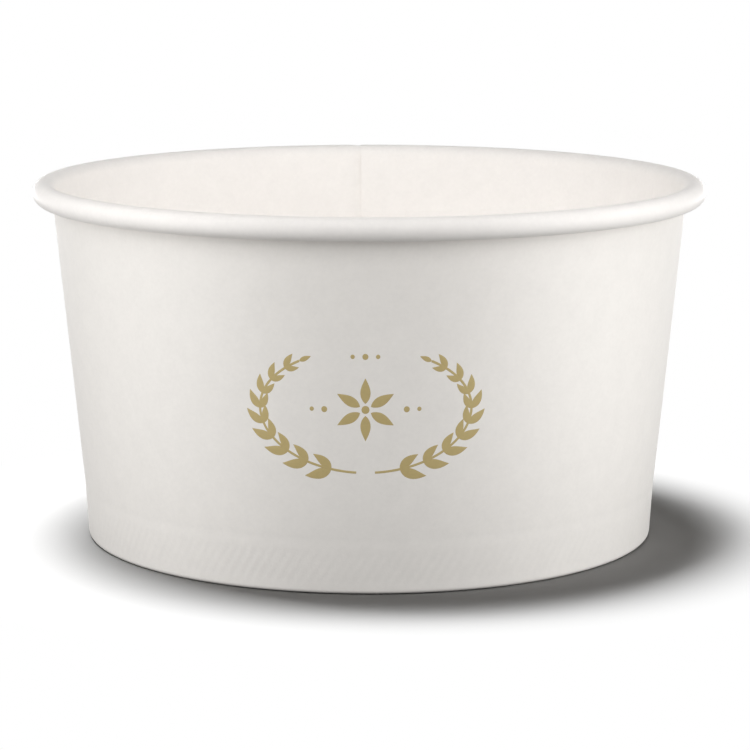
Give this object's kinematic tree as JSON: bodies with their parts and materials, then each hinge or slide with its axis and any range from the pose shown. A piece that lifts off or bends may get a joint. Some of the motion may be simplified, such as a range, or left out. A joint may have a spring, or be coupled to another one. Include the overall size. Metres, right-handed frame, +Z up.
{
  "type": "paper cup",
  "caption": "Wide, low paper dessert cup with a rolled rim, a lapped side seam and a folded foot that grips a recessed base disc; holds ice cream or other food.",
  "frame": {"origin": "centre of the standing ring, on the surface that the cup stands on", "axes": "+Z up along the cup's axis, out of its mouth; the side seam is at the back, on +Y, so -Y is the front"},
  "size_m": [0.087, 0.0873, 0.0463],
  "materials": {
    "sidewall_board": "uncoated white board outside, thin clear film inside",
    "base_board": "white board with a thin clear film on its upper face"
  },
  "bodies": {
    "root": {"sidewall": "sidewall_board", "base_disc": "base_board"}
  },
  "joints": []
}
